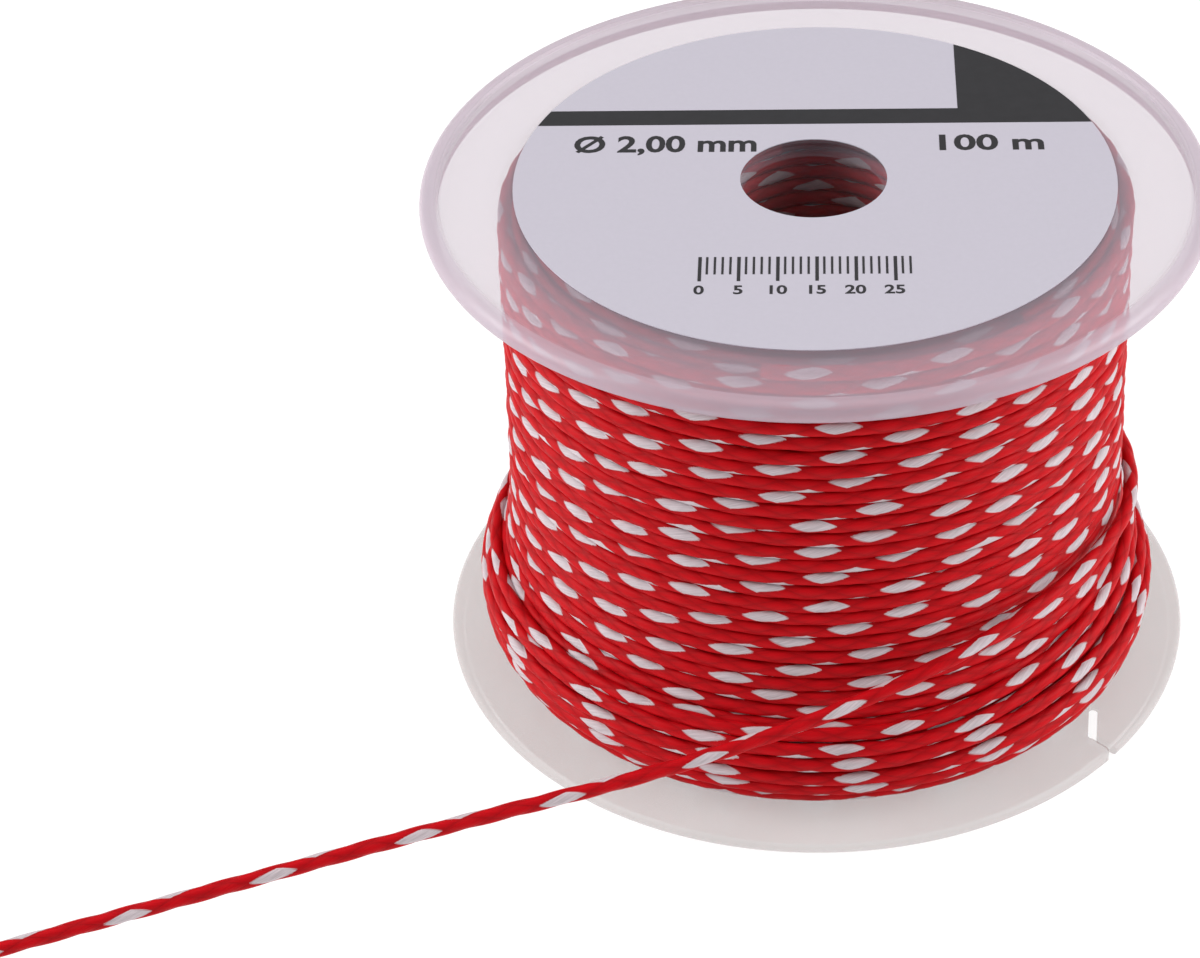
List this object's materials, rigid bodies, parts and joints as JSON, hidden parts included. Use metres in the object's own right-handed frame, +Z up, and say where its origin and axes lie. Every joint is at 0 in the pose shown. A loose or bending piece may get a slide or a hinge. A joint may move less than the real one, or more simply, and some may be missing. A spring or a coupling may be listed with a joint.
{
  "type": "builder's line reel",
  "caption": "Round flanged reel of braided marking line, with a through bore, a paper face label, a line slot in the lower rim and a free line end with a stopper knot.",
  "frame": {"origin": "centre of the lower flange's outer face, on the bore axis, where the reel stands", "axes": "+Z up along the bore; the free line leaves the winding at the -Y side and runs towards -X; the line slot is at +X -Y"},
  "size_m": [0.1766, 0.1379, 0.0735],
  "materials": {
    "frosted_polypropylene": "milky translucent, satin moulded",
    "label_paper": "coated white paper, satin",
    "braided_line": "braided red polypropylene yarn with pale tracer strands"
  },
  "bodies": {
    "reel": {"lower_flange": "frosted_polypropylene", "upper_flange": "frosted_polypropylene", "hub_tube": "frosted_polypropylene", "face_label": "label_paper", "line_winding": "braided_line"},
    "line_end": {"running_line": "braided_line", "end_knot": "braided_line"}
  },
  "joints": [
    {"name": "pay_out", "type": "hinge", "parent": "reel", "child": "line_end", "pos_m": [0, 0, 0.03675], "axis": [0, 0, 1], "continuous": true}
  ]
}
